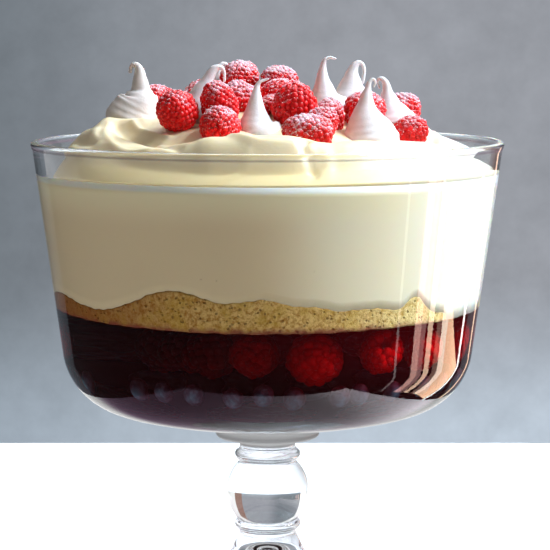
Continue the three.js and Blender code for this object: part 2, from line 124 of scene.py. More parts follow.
# Folds that the spoon leaves: height, width, and x and y along each.
FOLDS = [
    (1.2, 4.2, [(-79, -24), (-84, -12), (-86, 4)]),
    (3.2, 6, [(-74, -10), (-66, -13), (-58, -15)]),
    (1.2, 2.1, [
        (-72.8, -16.8), (-73.5, -29.5), (-71, -43), (-67.2, -56.5), (-62, -64.8), (-52, -74),
    ]),
    (-2, 3.4, [(-68.8, -18), (-63, -29), (-56, -43), (-50.8, -50)]),
    (1.1, 1.6, [(-62, -17), (-57, -28), (-50, -40), (-44, -47)]),
    (-1.7, 2.4, [(-52, -53), (-45.8, -70.5), (-38, -82)]),
    (1.5, 2.2, [(-15, -83), (-8.6, -89.5), (-4, -92), (3.4, -93), (13, -92.5)]),
    (1.6, 1.8, [(-8, -96), (-14, -98.5), (-20, -100.5)]),
    (-2.6, 1.7, [(17, -86), (15, -91), (18, -94), (20, -97), (18, -101)]),
    (1.6, 2.6, [(26, -92), (25, -99)]),
    (1.5, 3.5, [(50, -62), (62, -60), (72, -50)]),
    (1.2, 2.2, [(-91, -18), (-87.5, -32), (-81, -44)]),
    (-1.4, 2.2, [(-88, -14), (-83, -29), (-78, -40)]),
    (1.8, 3.5, [(10, 70), (36, 66), (58, 52), (72, 34)]),
    (-1.8, 4, [(0, 62), (28, 58), (50, 44)]),
    (1.8, 3.5, [(-72, 34), (-58, 52), (-36, 66), (-14, 72)]),
    (-1.6, 4, [(-62, 28), (-50, 44), (-30, 58)]),
    (1.6, 3, [(78, 6), (80, -14), (76, -34)]),
]

# ---- The toppings ----
# Meringue kisses: how far back each stands, and its x, height and radius from its foot to its tip.
MERINGUES = [
    (1.9, [
        (-63.8, 232.6, 11.9), (-63.5, 235, 12.5), (-61.6, 239.7, 10.9), (-60.2, 242.4, 9.9),
        (-59.3, 244.9, 8.6), (-59.2, 246.8, 6.9), (-59.1, 247.9, 5.7), (-59.1, 248.8, 4.7),
        (-59.2, 250.5, 4.2), (-59.4, 253.3, 3.5), (-59.5, 256.1, 2.7), (-59.9, 258.4, 2.1),
        (-60.9, 260, 1.6), (-62.2, 260.4, 1.3), (-63.5, 259.4, 0.95), (-64, 257.2, 0.8),
    ]),
    (-20.4, [
        (-31.7, 234.2, 10.8), (-31.7, 236.6, 11.4), (-31.2, 240, 9.6), (-30.6, 243.5, 7.6),
        (-29.9, 246.7, 5.9), (-28.7, 249.9, 4.7), (-27.7, 252.4, 3.6), (-26.7, 254.9, 2.7),
        (-25.5, 257.1, 2.3), (-24.2, 258.8, 1.9), (-22.4, 259.7, 1.4), (-20.5, 259.1, 1),
        (-19.7, 257.1, 0.7), (-19.6, 253.5, 0.6),
    ]),
    (-44.3, [
        (-3.7, 229, 9.9), (-3.9, 231.2, 10.5), (-4.4, 232.6, 9.9), (-5, 234.6, 8.3),
        (-5.2, 238.4, 6), (-5.2, 243.1, 3.9), (-5, 246.6, 2.8), (-4.8, 249.7, 1.8),
        (-4.3, 252.3, 1.1), (-3.1, 253.9, 0.8), (-1.4, 254.6, 0.6), (0.5, 255.1, 0.4),
    ]),
    (1.7, [
        (27.8, 238.8, 10.8), (27.6, 241, 10.9), (26.9, 243.4, 8.8), (26.4, 245.6, 7),
        (26.1, 249.6, 4.9), (25.7, 253.3, 3.3), (25.7, 257.3, 2.1), (26.1, 260.6, 1.3),
        (26.9, 262.9, 0.9), (28.7, 263.7, 0.7), (30.4, 263.6, 0.6), (31.8, 263.2, 0.35),
    ]),
    (19.3, [
        (39.1, 236.6, 11.1), (39.2, 239.3, 11.7), (39.4, 243.5, 9.9), (39.6, 247.1, 8),
        (39.6, 249.7, 6.2), (39.8, 252.8, 4.6), (40, 255.4, 3.4), (40.5, 257.6, 2.5),
        (41.5, 259.7, 1.9), (43.3, 261, 1.2), (45, 260, 0.9), (45.7, 257.8, 0.9),
        (45.5, 254.7, 0.9), (45, 251.6, 0.8),
    ]),
    (-30.5, [
        (46.6, 225, 12.9), (46.4, 227.5, 13.5), (45.8, 232.2, 11.3), (45, 236.9, 8.2),
        (44.7, 240.7, 5.6), (44.8, 244.3, 3.6), (45, 247.9, 2.4), (45.6, 250.6, 1.5),
        (46.1, 252.9, 1.1), (47, 254.3, 0.8), (48.2, 254.6, 0.6), (48.9, 253.3, 0.5),
        (48.3, 251.3, 0.4),
    ]),
    (2.9, [
        (58.2, 232, 11.1), (58.1, 234.6, 11.7), (57.4, 238.5, 8.6), (56.6, 242.1, 5.8),
        (56.3, 244.9, 4.3), (55.9, 247.2, 3), (55.7, 249.6, 2.1), (55, 252.1, 1.6),
        (53.4, 253.8, 1.2), (51.9, 253.7, 0.8), (51.3, 252.2, 0.6), (52.3, 249.8, 0.5),
    ]),
    (30.8, [
        (-24.8, 240.6, 10.5), (-24.8, 243, 11.1), (-24.4, 247, 7.6), (-24, 251, 4.6),
        (-23.6, 255, 2.8), (-23, 258, 1.9), (-21.5, 259.8, 1.4), (-19.5, 259.6, 1.1),
        (-18.3, 258.2, 0.9),
    ]),
]
# Raspberries: x, y, z, radius, half length, lean of the tip and the way it leans.
RASPBERRIES = [
    (-40.7, -39.5, 240.9, 9.5, 10.3, 60, 235),
    (-21, -54.2, 234.6, 9.4, 10.6, 75, 262),
    (17.9, -64.6, 232.1, 8.8, 12.2, 80, 182),
    (66, -15.5, 230, 8, 9.2, 65, 320),
    (-21.7, -35.8, 243.8, 8.6, 11.2, 18, 165),
    (11.8, -37, 242.7, 10.2, 11, 125, 200),
    (24, -48.6, 235.4, 7.6, 9, 50, 330),
    (27, -23.6, 236, 8.4, 11, 20, 10),
    (45.2, -11.3, 239.8, 9.2, 10.4, 80, 15),
    (63.4, 20.9, 237.7, 9, 11, 50, 345),
    (-52.2, 16, 242.6, 8.6, 9.8, 75, 5),
    (-31.5, 7.4, 244.1, 9, 10.5, 35, 20),
    (-12.2, -11.7, 244.7, 8.6, 10.2, 40, 200),
    (-13.1, 22.2, 254, 8.4, 9.8, 70, 10),
    (5.6, 15.3, 252.2, 8, 9.6, 80, 350),
    (5.4, 0.3, 246.6, 8, 9, 60, 10),
    (2.6, -21.3, 239.8, 8, 8.6, 70, 80),
    (-45, 35.5, 238, 8.8, 10.2, 60, 140),
    (-32.4, 51, 240.5, 9, 10.4, 70, 100),
    (-6, 42.5, 243.5, 9, 10.6, 65, 80),
    (14.5, 46, 241, 8.8, 10, 70, 300),
    (46, 44, 239, 9, 10.6, 75, 60),
    (62, 38.5, 234.5, 8.8, 10.2, 70, 30),
]
# How much icing sugar a raspberry carries, by its number, where it isn't 0.15.
DUSTED = {
    1: -0.05, 2: 0.15, 3: 0.35, 4: 0.1, 5: 0.05, 6: -0.1, 7: 0.3, 8: 0.3, 9: 0.2, 10: 0.3,
    11: 0.05, 13: 0.35, 14: 0.45, 15: 0.4, 16: 0.1,
}
BERRY_TAPER = 0.14
DRUPELETS = 165

# Fruit sunk in the jelly: bearing from the front, height, radius, distance from the wall.
SUNK_RASPBERRIES = [
    (-4, 137.8, 10.5, 14), (15, 135.6, 12, 3.6), (35, 137.2, 10.2, 2.8),
    (-23, 137, 11, 29), (-40, 137.5, 10.5, 38), (-58, 137, 11, 42),
]
BLUEBERRIES = [-39, -30.5, -21, -9.5, -1, 7.7, 21, 27, 38]

# ---- The stage ----
BOARD = (-0.18, 0.172, -0.207, 0.426)  # left, right, front and back edge, in metres
SENSOR_WIDTH = 36
LIGHT_PATHS = {
    "use_denoising": True, "max_bounces": 18, "diffuse_bounces": 4, "glossy_bounces": 6,
    "transmission_bounces": 14, "transparent_max_bounces": 32, "sample_clamp_indirect": 6,
}
# Streaks that the glass mirrors: azimuths, elevations, radiance and colour.
STREAKS = [
    (-17.5, -16, -38, -15, 2.2, (0.95, 0.85, 0.85)),
    (-5.4, -0.5, -38, -15, 6.5, (1, 0.56, 0.48)),
    (-0.5, 3, -38, -15, 2.6, (1, 0.52, 0.5)),
    (4.6, 8.8, -38, -15, 8, (1, 0.7, 0.5)),
    (12, 16, -38, -15, 1.4, (1, 0.6, 0.45)),
    (16.4, 22, -38, -15, 9, (1, 0.76, 0.6)),
    (22, 38.5, -38, -15, 7.4, (1, 0.6, 0.38)),
    (39, 41.5, -50, -8, 7, (1, 0.96, 0.92)),
    (58, 61, -50, 0, 2.5, (1, 0.62, 0.42)),
]


# ---- Node trees ----
def arithmetic(operation, reflected=False):
    """A method of an expression that adds a Math node for it and another value."""

    def method(self, other):
        terms = (other, self) if reflected else (self, other)
        return self.maths(operation, *terms)
    return method


class Expression:
    """A socket that adds Math nodes to its graph when it is used in arithmetic."""

    __add__ = __radd__ = arithmetic("ADD")
    __sub__ = arithmetic("SUBTRACT")
    __rsub__ = arithmetic("SUBTRACT", reflected=True)
    __mul__ = __rmul__ = arithmetic("MULTIPLY")
    __truediv__ = arithmetic("DIVIDE")
    __pow__ = arithmetic("POWER")

    def __init__(self, graph, socket):
        self.graph = graph
        self.socket = socket

    def maths(self, operation, *terms, clamp=False):
        values = dict(enumerate(terms))
        return self.graph.node("ShaderNodeMath", 0, values, operation=operation, use_clamp=clamp)

    def step(self, low, high):
        """0 below low, 1 above high, smooth between."""
        share = self.maths("DIVIDE", self - low, high - low, clamp=True)
        return share * share * (3 - 2 * share)


def find_socket(sockets, key):
    """The socket of this number, identifier or name."""
    if isinstance(key, int):
        return sockets[key]
    for socket in sockets:
        if socket.identifier == key:
            return socket
    return next(socket for socket in sockets if socket.name == key and socket.enabled)


def adds(kind, output, *keys, **settings):
    """A method of a graph that adds this node, and takes the values of these inputs."""

    def method(self, *values):
        return self.node(kind, output, dict(zip(keys, values)), **settings)
    return method


class Graph:
    """Adds nodes to a tree."""

    blend = adds("ShaderNodeMixShader", "Shader", 0, 1, 2)
    bump = adds("ShaderNodeBump", "Normal", "Height", "Strength", "Distance")
    clear = adds("ShaderNodeBsdfTransparent", "BSDF")
    diffuse = adds("ShaderNodeBsdfDiffuse", "BSDF", "Color")
    glow = adds("ShaderNodeEmission", "Emission", "Color", "Strength")
    light = adds("ShaderNodeBackground", "Background", "Color")
    mixed = adds(
        "ShaderNodeMix", "Result_Color", "Factor_Float", "A_Color", "B_Color", data_type="RGBA",
    )
    varied = adds("FunctionNodeRandomValue", "Value_001", "Min_001", "Max_001", "Seed")
    vector = adds("ShaderNodeCombineXYZ", "Vector", "X", "Y", "Z")

    def __init__(self, tree):
        self.tree = tree

    def node(self, kind, output=None, values=None, **settings):
        """Adds a node and gives one of its outputs. A list of values is linked one by one."""
        node = self.tree.nodes.new(kind)
        for name, setting in settings.items():
            setattr(node, name, setting)
        for key, value in (values or {}).items():
            for one in value if isinstance(value, list) else [value]:
                self.connect(find_socket(node.inputs, key), one)
        return None if output is None else Expression(self, find_socket(node.outputs, output))

    def connect(self, socket, value):
        if isinstance(value, Expression):
            self.tree.links.new(value.socket, socket)
        else:
            socket.default_value = (*value, 1) if socket.type == "RGBA" else value

    def along(self, axis, vector=None):
        """One part of a vector, or else of the shaded point's place on its object."""
        vector = vector or self.node("ShaderNodeTexCoord", "Object")
        return self.node("ShaderNodeSeparateXYZ", axis, {"Vector": vector})

    def texture(self, kind, output, **values):
        place = self.node("ShaderNodeTexCoord", "Object")
        return self.node("ShaderNodeTex" + kind, output, {"Vector": place, **values})

    def noise(self, scale, detail, roughness=0.5):
        return self.texture("Noise", 0, Scale=scale, Detail=detail, Roughness=roughness)

    def cells(self, scale):
        return self.texture("Voronoi", "Distance", Scale=scale)

    def ray(self, kind):
        return self.node("ShaderNodeLightPath", f"Is {kind} Ray")

    def attribute(self, name):
        return self.node("ShaderNodeAttribute", "Fac", attribute_name=name)

    def given(self, name):
        return self.node("NodeGroupInput", name)

    def geometry(self, kind, geometry, values=None, **settings):
        values = {"Geometry": geometry, **(values or {})}
        return self.node("GeometryNode" + kind, "Geometry", values, **settings)

    def layered(self, base, *coats):
        """A colour under coats, each a share and a colour."""
        for share, colour in coats:
            base = self.mixed(share, base, colour)
        return base


def emptied(owner):
    """The graph of a material's or a world's tree, without the nodes that it starts with."""
    owner.use_nodes = True
    owner.node_tree.nodes.clear()
    return Graph(owner.node_tree)


# ---- Materials ----
def material(name, paint):
    """A material whose surface, or whose surface and volume, come from paint(graph)."""
    made = bpy.data.materials.new(name)
    graph = emptied(made)
    parts = paint(graph)
    if isinstance(parts, Expression):
        parts = {"Surface": parts}
    graph.node("ShaderNodeOutputMaterial", None, parts)
    return made


def principled(graph, **values):
    named = {name.replace("_", " "): value for name, value in values.items()}
    return graph.node("ShaderNodeBsdfPrincipled", "BSDF", named)


def food(graph, colour, roughness, shine, scatter, relief=None):
    """A surface that light enters: scatter is its weight, radius and scale, relief its bump."""
    weight, radius, scale = scatter
    values = {"Normal": graph.bump(*relief)} if relief else {}
    return principled(
        graph, Base_Color=colour, Roughness=roughness, Specular_IOR_Level=shine,
        Subsurface_Weight=weight, Subsurface_Radius=radius, Subsurface_Scale=scale, **values,
    )


def open_to_light(graph, shader):
    """The same shader, with shadow and diffuse rays let through."""
    for kind in ("Diffuse", "Shadow"):
        shader = graph.blend(graph.ray(kind), shader, graph.clear())
    return shader


def paint_clear_glass(graph):
    glass = principled(
        graph, Base_Color=(0.985, 0.995, 0.995), Roughness=0, IOR=1.5, Transmission_Weight=1,
    )
    height = graph.along("Z")
    # The thick glass where the bowl meets its stem is painted with a pale diffuse: painted light,
    # standing in for the light that it gathers from the floor.
    thick = height.step(0.08, 0.084) * (1 - height.step(0.093, 0.106)) * 0.92
    glass = graph.blend(thick, glass, graph.diffuse((0.93, 0.96, 1)))
    # A painted dark line runs round where the rounded rim meets the wall: painted shade.
    painted_rim_shade = height.step(0.2218, 0.2224) * (1 - height.step(0.2227, 0.2233)) * 0.28
    glass = graph.blend(painted_rim_shade, glass, graph.diffuse((0.21, 0.12, 0.15)))
    return open_to_light(graph, glass)


def paint_wetted_glass(graph):
    """Clear, but a mirror where light inside the glass grazes the filling."""
    mirror = graph.node("ShaderNodeBsdfAnisotropic", "BSDF", {"Roughness": 0})
    share = graph.node("ShaderNodeFresnel", 0, {"IOR": 1.11})
    return open_to_light(graph, graph.blend(share, graph.clear(), mirror))


def paint_jelly(graph):
    surface = principled(
        graph, Base_Color=(1, 0.96, 0.97), Roughness=0, IOR=1, Transmission_Weight=1,
        Specular_IOR_Level=0,
    )
    surface = graph.blend(0.06, surface, graph.diffuse((0.36, 0, 0.006)))
    wine = {"Color": (0.83, 0.04, 0.14), "Density": 270}
    volume = graph.node("ShaderNodeVolumeAbsorption", "Volume", wine)
    return {"Surface": open_to_light(graph, surface), "Volume": volume}


def paint_custard(graph):
    cloud = graph.noise(38, 3, 0.55)
    height = graph.along("Z")
    across = graph.along("X")
    # The custard is painted lighter and yellower near its top, under the cream: painted light,
    # standing in for light that comes in from above.
    painted_top_light = height.step(0.192, 0.207)
    seam = height.step(0.208, 0.2094)
    speck = 1 - graph.cells(190).step(0.03, 0.075)
    rare = graph.noise(55, 0).step(0.6, 0.66)
    base = graph.layered(
        graph.mixed(cloud, (0.83, 0.665, 0.415), (0.87, 0.705, 0.445)),
        # Lighter towards the right, where the window light falls: painted light.
        (across.step(-0.005, 0.032), (0.96, 0.835, 0.585)),
        (painted_top_light * 0.9, (1, 0.86, 0.56)),
        # Whiter still further right, where the window light is strongest: painted light.
        (across.step(0.05, 0.092), (1, 0.95, 0.81)),
        (seam * 0.9, (0.99, 0.955, 0.85)),
        (speck * rare * 0.6, (0.36, 0.19, 0.07)),
    )
    return food(graph, base, roughness=0.42, shine=0.3, scatter=(0.35, (1, 0.7, 0.4), 0.004))


def paint_cream(graph):
    cloud = graph.noise(60, 3, 0.5)
    low = 1 - graph.along("Z").step(0.216, 0.225)
    base = graph.layered(
        graph.mixed(cloud, (0.87, 0.7, 0.425), (0.9, 0.745, 0.485)),
        (low * 0.65, (0.95, 0.7, 0.3)),
        # Whiter towards the right, where the window light falls: painted light.
        (graph.along("X").step(0.03, 0.085) * 0.7, (1, 0.93, 0.8)),
    )
    grain = graph.noise(420, 3, 0.6)
    return food(
        graph, base, roughness=0.38, shine=0.35, scatter=(0.3, (1, 0.75, 0.4), 0.004),
        relief=(grain, 0.12, 0.0006),
    )


def paint_meringue(graph):
    cloud = graph.noise(150, 2, 0.5)
    # The meringue is painted darker and warmer at the far left, where the first kiss stands: painted
    # shade.
    left = 1 - graph.along("X").step(-0.058, -0.046)
    base = graph.mixed(cloud, (0.77, 0.725, 0.705), (0.82, 0.785, 0.765))
    base = graph.mixed(left * 0.8, base, (0.68, 0.59, 0.53))
    grain = graph.noise(900, 3, 0.65)
    return food(
        graph, base, roughness=0.5, shine=0.3, scatter=(0.3, (1, 0.7, 0.6), 0.003),
        relief=(grain, 0.25, 0.0004),
    )


def paint_sponge(graph):
    height = graph.along("Z")
    across = graph.along("X")
    crumb = graph.noise(560, 4, 0.72)
    patches = graph.noise(120, 3, 0.6)
    # The crumb's colour on its right side, painted lighter and yellower: painted light where the
    # window light falls.
    painted_light = graph.mixed(crumb.step(0.3, 0.58), (0.74, 0.46, 0.1), (1, 0.82, 0.38))
    # The dark spots are painted shade in the holes of the crumb, which the bump also sinks.
    shaded_pores = 1 - graph.cells(470).step(0.14, 0.36)
    shaded_pores = shaded_pores * graph.noise(260, 2, 0.6).step(0.42, 0.56)
    # The mask below paints the crumb darker towards the left, away from the window light: painted
    # shade.
    soaked = 1 - (across + (patches - 0.5) * 0.05).step(-0.085, -0.02)
    crust = graph.attribute("crust")
    stain = 1 - (height + (patches - 0.5) * 0.006).step(0.1478, 0.1508)
    base = graph.layered(
        graph.mixed(crumb.step(0.34, 0.62), (0.48, 0.21, 0.032), (0.87, 0.58, 0.2)),
        (patches.step(0.45, 0.62) * 0.55, (0.62, 0.37, 0.05)),
        # Towards the right the crumb takes that lit colour: painted light.
        (across.step(0.02, 0.075) * 0.8, painted_light),
        (shaded_pores * 0.6, (0.2, 0.075, 0.008)),
        (soaked * 0.85, (0.32, 0.088, 0.006)),
        (crust * (0.1 + 0.6 * patches), (0.3, 0.12, 0.015)),
        (stain * 0.85, (0.25, 0.035, 0.03)),
    )
    return food(
        graph, base, roughness=0.8, shine=0.2, scatter=(0.08, (1, 0.5, 0.2), 0.0015),
        relief=(crumb - shaded_pores, 0.9, 0.001),
    )


def paint_raspberry(graph):
    dusting = graph.attribute("dusting")
    facing_up = graph.along("Z", graph.node("ShaderNodeNewGeometry", "Normal"))
    base = graph.mixed(graph.attribute("tone"), (0.56, 0.001, 0.002), (0.86, 0.006, 0.006))
    patches = graph.noise(230, 2, 0.55)
    flour = graph.noise(2500, 3, 0.65)
    settled = (0.45 * facing_up + dusting + 1.7 * (patches - 0.5)).step(0, 1.35)
    sugar = (flour + 0.33 * settled).step(0.64, 0.78) * 0.82
    base = graph.mixed(sugar, base, (0.95, 0.64, 0.69))
    return food(
        graph, base, roughness=0.36 + 0.5 * sugar, shine=0.28,
        scatter=(0.3, (1, 0.1, 0.06), 0.0025), relief=(flour * settled, 0.4, 0.0003),
    )


def paint_sunk_raspberry(graph):
    base = graph.mixed(graph.attribute("tone"), (0.46, 0.004, 0.006), (0.72, 0.02, 0.02))
    return principled(graph, Base_Color=base, Roughness=0.5, Specular_IOR_Level=0.1)


def paint_sugar(graph):
    return food(
        graph, (0.93, 0.86, 0.87), roughness=0.7, shine=0.5, scatter=(0.2, (1, 0.8, 0.8), 0.001),
    )


def paint_blueberry(graph):
    bloom = graph.noise(260, 3, 0.6).step(0.38, 0.66)
    base = graph.mixed(bloom, (0.02, 0.05, 0.08), (0.06, 0.17, 0.24))
    return principled(graph, Base_Color=base, Roughness=0.6, Specular_IOR_Level=0.2)


def paint_floor(graph):
    base = graph.mixed(graph.noise(7, 4, 0.6), (0.9, 0.905, 0.92), (0.95, 0.95, 0.955))
    surface = principled(
        graph, Base_Color=base, Roughness=0.6, Specular_IOR_Level=0.2,
        Emission_Color=(1, 1, 1), Emission_Strength=0.22,
        Normal=graph.bump(graph.noise(30, 4, 0.6), 0.3, 0.002),
    )
    # What the glass mirrors is a painted glow in place of the floor: painted shade of the wine
    # jelly, dark and purple at the left, and painted light, stronger towards the right, and plain
    # white further back.
    across = graph.along("X")
    behind = graph.along("Y").step(0.05, 0.15)
    shade = graph.mixed(across.step(-0.13, 0.12), (0.7, 0.48, 0.72), (0.98, 0.92, 1))
    shade = graph.mixed(behind, shade, (1, 1, 1))
    painted_light = 0.52 + 0.62 * across.step(-0.12, 0.06) + 2.3 * across.step(0.06, 0.16)
    painted_light = painted_light * (1 - behind) + 1.25 * behind
    surface = graph.blend(graph.ray("Reflection"), surface, graph.glow(shade, painted_light))
    return graph.blend(graph.ray("Diffuse"), surface, graph.glow((1, 0.985, 0.96), 0.55))


def paint_backdrop(graph):
    across = graph.along("X")
    rightward = across.step(-0.5, 0.1)
    low = 1 - graph.along("Z").step(-0.39, -0.08)
    paler = graph.mixed(rightward, (0.335, 0.395, 0.46), (0.52, 0.6, 0.69))
    base = graph.layered(
        graph.mixed(rightward, (0.165, 0.19, 0.215), (0.315, 0.33, 0.365)),
        (low, paler),
        (across.step(1.2, 1.24) * graph.ray("Transmission"), (0.3, 0.17, 0.13)),
    )
    mottle = graph.noise(7, 5, 0.62)
    speckle = graph.noise(26, 3, 0.6)
    # Where the glass mirrors them, the backdrop's sides are painted dimmer: a painted reflection.
    sideways = across.maths("ABSOLUTE", across).step(0.45, 0.9)
    shade = 0.72 + 0.34 * mottle + 0.24 * speckle
    return graph.glow(base, shade * (1 - 0.65 * graph.ray("Reflection") * sideways))


# ---- Meshes ----
def added(name, data):
    """A new object of the scene with this mesh, lamp or camera."""
    made = bpy.data.objects.new(name, data)
    bpy.context.scene.collection.objects.link(made)
    return made


def shown(name, mesh, *materials):
    mesh.name = name
    for one in materials:
        mesh.materials.append(one)
    return added(name, mesh)


def set_values(mesh, name, values):
    mesh.attributes.new(name, "FLOAT", "POINT").data.foreach_set("value", values)


def skin_faces(rows, sides):
    """Faces over rings of points, from one end point to another."""
    side = np.arange(sides)
    after = (side + 1) % sides
    low = 1 + sides * np.arange(rows - 1)[:, None]
    high = low + sides
    quads = np.stack([low + side, low + after, high + after, high + side], axis=2)
    last = 1 + rows * sides
    top = last - sides
    start = np.stack([0 * side, 1 + after, 1 + side], axis=1)
    end = np.stack([last + 0 * side, top + side, top + after], axis=1)
    return [*start.tolist(), *quads.reshape(-1, 4).tolist(), *end.tolist()]


def closed_mesh(rings, first, last):
    """A mesh over rings, an array of rows, sides and x y z in millimetres, and two end points."""
    rings = np.asarray(rings, dtype=float)
    points = np.concatenate([[first], rings.reshape(-1, 3), [last]])
    mesh = bpy.data.meshes.new("closed")
    mesh.from_pydata((points * MM).tolist(), [], skin_faces(*rings.shape[:2]))
    mesh.shade_smooth()
    return mesh


def bearings(sides):
    """Angles round the axis, evenly from +X."""
    return np.arange(sides) * TURN / sides


def turned_mesh(outline, sides):
    """A mesh from radii and heights, each a number or one per side, from axis to axis."""
    angle = bearings(sides)
    rings = [
        np.stack([radius * np.cos(angle), radius * np.sin(angle), height + 0 * angle], axis=1)
        for radius, height in outline[1:-1]
    ]
    return closed_mesh(rings, (0, 0, outline[0][1]), (0, 0, outline[-1][1]))


def arc(x, y, radius, start, end, steps):
    """Points along an arc, from one angle to another in degrees."""
    angles = np.radians(np.linspace(start, end, steps + 1))
    return [(x + radius * math.cos(a), y + radius * math.sin(a)) for a in angles]


# ---- Glass bowl ----
def wall_radius(height):
    return WALL_TOP["radius"] - (WALL_TOP["height"] - height) * LEAN


def inset_radius(height, inset):
    return wall_radius(height) - inset / math.cos(WALL_DRAFT)


def corner_centre():
    """The centre of the rounded corner under the wall."""
    x = wall_radius(CORNER["height"]) - CORNER["radius"] * math.cos(WALL_DRAFT)
    return x, CORNER["height"] + CORNER["radius"] * math.sin(WALL_DRAFT)


def bowl_outline(top, inset, bottom):
    """The bowl's outline from the axis out and up to a height, set in from its outer face."""
    centre_x, centre_y = corner_centre()
    corner = CORNER["radius"] - inset
    rise = centre_y - bottom
    radius = (centre_x ** 2 + rise ** 2 - corner ** 2) / (2 * (rise - corner))
    centre = bottom + radius
    meeting = math.degrees(math.atan2(centre_y - centre, centre_x))
    return [
        *arc(0, centre, radius, -90, meeting, 24),
        *arc(centre_x, centre_y, corner, meeting, -math.degrees(WALL_DRAFT), 18)[1:],
        (inset_radius(top, inset), top),
    ]


def slope(start, end, steps, outer, inner, low, high, power):
    """Points that rise from low at the outer radius to high at the inner one, ever steeper."""
    radii = np.linspace(start, end, steps)
    heights = low + (high - low) * ((outer - radii) / (outer - inner)) ** power
    return list(zip(radii, heights))


def foot_outline():
    """From the middle of the hollow under the foot, round its edge and up to the ankle."""
    edge, rim, ankle = FOOT["radius"], FOOT["rim"], STEM["ankle"][0]
    hollow, dome, base = HOLLOW["radius"], HOLLOW["dome radius"], HOLLOW["dome base"]
    low, high = FOOT["edge beads"]
    rise = HOLLOW["top"] - base
    polars = np.radians(np.linspace(0, 80, 12))
    flare = (edge - 1, ankle, rim, FOOT["flare top"], FOOT["power"])
    return [
        *[(dome * math.sin(polar), base + rise * math.cos(polar)) for polar in polars],
        *slope(*HOLLOW["slope"], 24, hollow, dome, 0, base, HOLLOW["power"]),
        (hollow, 0),
        (edge - 0.8, 0),
        *arc(edge - low, low, low, -60, 0, 4),
        *arc(edge - high, rim - high, high, 0, 80, 5),
        *slope(edge - 2.5, FOOT["flare reach"], 30, *flare),
    ]


def stem_outline():
    """From the ankle up to the flange under the bowl."""
    ball_radius, ball_height = STEM["ball"]
    ball_edge = math.degrees(math.acos(STEM["waist"] / ball_radius))
    ankle_radius, ankle_height = STEM["ankle"]
    neck_radius, neck_height = STEM["neck"]

    def ring(radius, height, bead):
        return arc(radius - bead, height, bead, -80, 80, 12)

    return [
        (ankle_radius + 0.25, ankle_height - 1),
        STEM["ankle"],
        *ring(*STEM["lower ring"]),
        *arc(0, ball_height, ball_radius, -ball_edge, ball_edge, 28),
        *ring(*STEM["upper ring"]),
        STEM["neck"],
        (neck_radius + 0.8, neck_height + 1.6),
        *FLANGE["underside"],
        *arc(*FLANGE["edge"], -60, 30, 5),
        FLANGE["top"],
    ]


def glass_bowl(clear, wetted):
    """The bowl on its stem and foot, with a material of its own where the filling touches it."""
    bead = RIM["bead"]
    outer = bowl_outline(WALL_TOP["height"] - 1, 0, BOWL_UNDERSIDE)
    outer = [(radius, height) for radius, height in outer if radius > FLANGE["reach"]]
    inner = bowl_outline(CUSTARD_TOP, WALL, BOWL_INSIDE)[::-1]
    rim = arc(RIM["radius"] - bead, RIM["top"] - bead, bead, 0, 180, 16)
    above = WALL_TOP["height"] - 2
    wall = (inset_radius(above, WALL), above)
    outline = [*foot_outline(), *stem_outline(), *outer, *rim, wall, *inner]
    bowl = shown("glass_bowl_clear", turned_mesh(outline, BOWL_SIDES), clear, wetted)
    slots = np.zeros(len(bowl.data.polygons), dtype=np.int32)
    slots[BOWL_SIDES * (len(outline) - len(inner)):] = 1
    bowl.data.polygons.foreach_set("material_index", slots)
    return bowl


# ---- Layers ----
def bell(away, width):
    """1 in the middle, falling to nothing past this half width."""
    return np.exp(-((away / width) ** 2))


def ripples(angle, seed, counts, size):
    """A small irregular wave round the bowl: a sum of sines with whole counts per turn."""
    rng = random.Random(seed)
    total = np.zeros_like(angle)
    for count in counts:
        total += rng.uniform(0.4, 1) * np.sin(count * angle + rng.uniform(0, TURN))
    return total * size / math.sqrt(len(counts))


def jelly_level(angle):
    lift = LEVEL_RISE * np.cos(angle) ** 2
    return JELLY_TOP + lift + ripples(angle, 8, [11, 19, 29, 41, 53, 71, 89], 0.28)


def jelly_layer(wine):
    level = jelly_level(bearings(JELLY_SIDES))
    *outline, (edge, _) = bowl_outline(JELLY_TOP, WALL - SUNK, BOWL_INSIDE - SUNK)
    outline += [(edge * share, level) for share in (1, 0.99, 0.8, 0.4)]
    return shown("wine_jelly", turned_mesh([*outline, (0, JELLY_TOP)], JELLY_SIDES), wine)


def sponge_thickness(bearing):
    """How thick the sponge is against the glass at bearings in degrees from the front."""
    total = np.full_like(bearing, SPONGE["base"])
    for middle, width, height in SPONGE_WAVES:
        away = (bearing - middle + 540) % 360 - 180
        total += height * bell(away, width)
    return total


def sponge_edge(angle):
    """The sponge's reach, and the height of its top there, at bearings from +X."""
    thickness = sponge_thickness(np.degrees(angle) + 90)
    thickness = thickness + ripples(angle, 3, [23, 31, 47, 61, 83, 107], 0.32)
    retreat = SPONGE["retreat"] * np.maximum(0, SPONGE["thinnest"] - thickness)
    reach = inset_radius(JELLY_TOP, WALL - SUNK - 0.02) - retreat
    rise = LEVEL_RISE * np.maximum(0, np.cos(angle)) ** 2
    return reach, SPONGE_BASE + np.maximum(SPONGE["thinnest"], thickness) + rise


